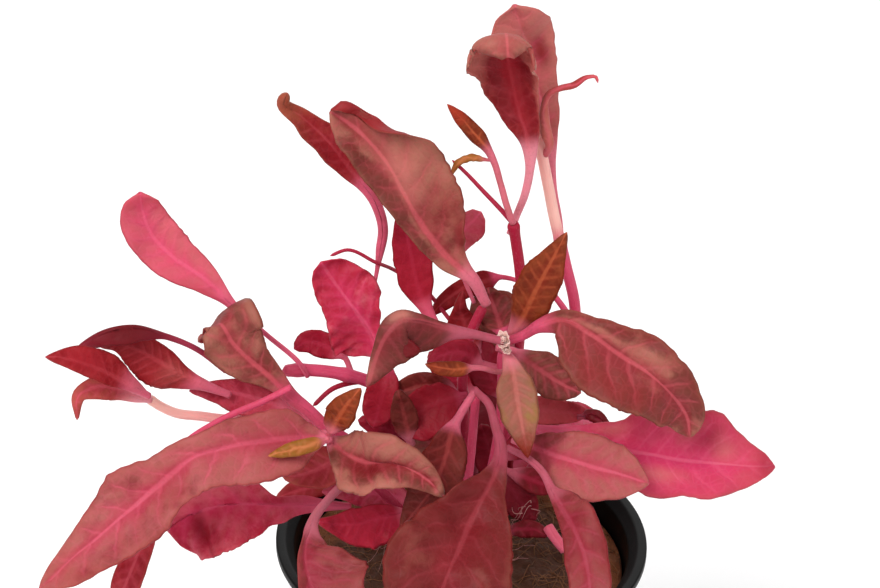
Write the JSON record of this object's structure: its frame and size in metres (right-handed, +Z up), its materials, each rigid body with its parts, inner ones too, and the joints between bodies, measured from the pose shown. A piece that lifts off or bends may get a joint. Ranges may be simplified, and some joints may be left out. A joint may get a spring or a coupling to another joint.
{
  "type": "potted aquarium plant",
  "caption": "Low bushy aquatic plant with long stalked pointed leaves on short stems, growing from a fibrous plug in a tapered cup that stands on its flat base.",
  "frame": {"origin": "middle of the flat underside of the cup", "axes": "+X to the right of the front view, +Y away from the viewer, +Z up"},
  "size_m": [0.0988, 0.0725, 0.1258],
  "materials": {
    "brown_leaf": "satin",
    "rose_leaf": "satin",
    "pink_leaf": "satin",
    "crimson_leaf": "satin",
    "scarlet_leaf": "satin",
    "salmon_leaf": "satin",
    "bronze_leaf": "satin",
    "olive_leaf": "satin",
    "tan_leaf": "satin",
    "dark_leaf": "satin",
    "stem": "satin",
    "black_cup": "satin",
    "pale_wrap": "satin",
    "brown_plug": "matte",
    "cream_flower": "matte"
  },
  "bodies": {
    "root": {"arched_left_leaf": "salmon_leaf", "bent_brown_leaf": "brown_leaf", "big_right_brown_leaf": "brown_leaf", "big_right_pink_leaf": "pink_leaf", "brown_rear_leaf": "brown_leaf", "brown_upright_left_leaf": "brown_leaf", "bud_leaf": "bronze_leaf", "crown_stem": "stem", "cup": "black_cup", "cupped_crimson_leaf": "pink_leaf", "curled_side_leaflet": "olive_leaf", "dark_brown_leaf": "dark_leaf", "far_left_crimson_leaf": "scarlet_leaf", "far_left_drooping_leaf": "salmon_leaf", "flower_head": "cream_flower", "folded_grey_leaf": "brown_leaf", "folded_left_leaf": "scarlet_leaf", "front_centre_leaf": "brown_leaf", "front_left_leaf": "rose_leaf", "front_right_hanging_leaf": "rose_leaf", "front_right_pink_leaf": "rose_leaf", "front_stem": "stem", "growing_plug": "brown_plug", "hanging_crimson_leaf": "crimson_leaf", "hooked_rear_leaf": "brown_leaf", "inner_brown_leaf": "dark_leaf", "inner_crimson_leaf": "crimson_leaf", "inner_rear_leaf": "scarlet_leaf", "inner_rose_leaf": "crimson_leaf", "left_stem": "stem", "long_lower_left_leaf": "rose_leaf", "low_left_stem": "stem", "low_right_crimson_leaf": "crimson_leaf", "middle_stem": "stem", "orange_bud": "bronze_leaf", "outer_left_stem": "stem", "paddle_leaf": "pink_leaf", "pale_drooping_leaf": "tan_leaf", "pink_upper_left_leaf": "pink_leaf", "pinkish_under_leaf": "rose_leaf", "rear_leaf_left": "crimson_leaf", "rear_leaf_middle": "crimson_leaf", "rear_leaf_right": "pink_leaf", "rear_scarlet_leaf": "scarlet_leaf", "rear_stem": "stem", "rear_upright_leaf": "crimson_leaf", "right_stem": "stem", "rust_upright_leaf": "bronze_leaf", "salmon_leaf": "salmon_leaf", "small_green_brown_leaf": "brown_leaf", "small_olive_leaf": "bronze_leaf", "small_paddle_leaf": "crimson_leaf", "small_round_leaf": "pink_leaf", "small_yellow_leaf": "olive_leaf", "top_cupped_leaf": "brown_leaf", "top_rear_leaf": "rose_leaf", "trailing_lower_leaf": "salmon_leaf", "twisted_leaflet": "salmon_leaf", "upper_left_leaf": "brown_leaf", "wrap": "pale_wrap"}
  },
  "joints": []
}
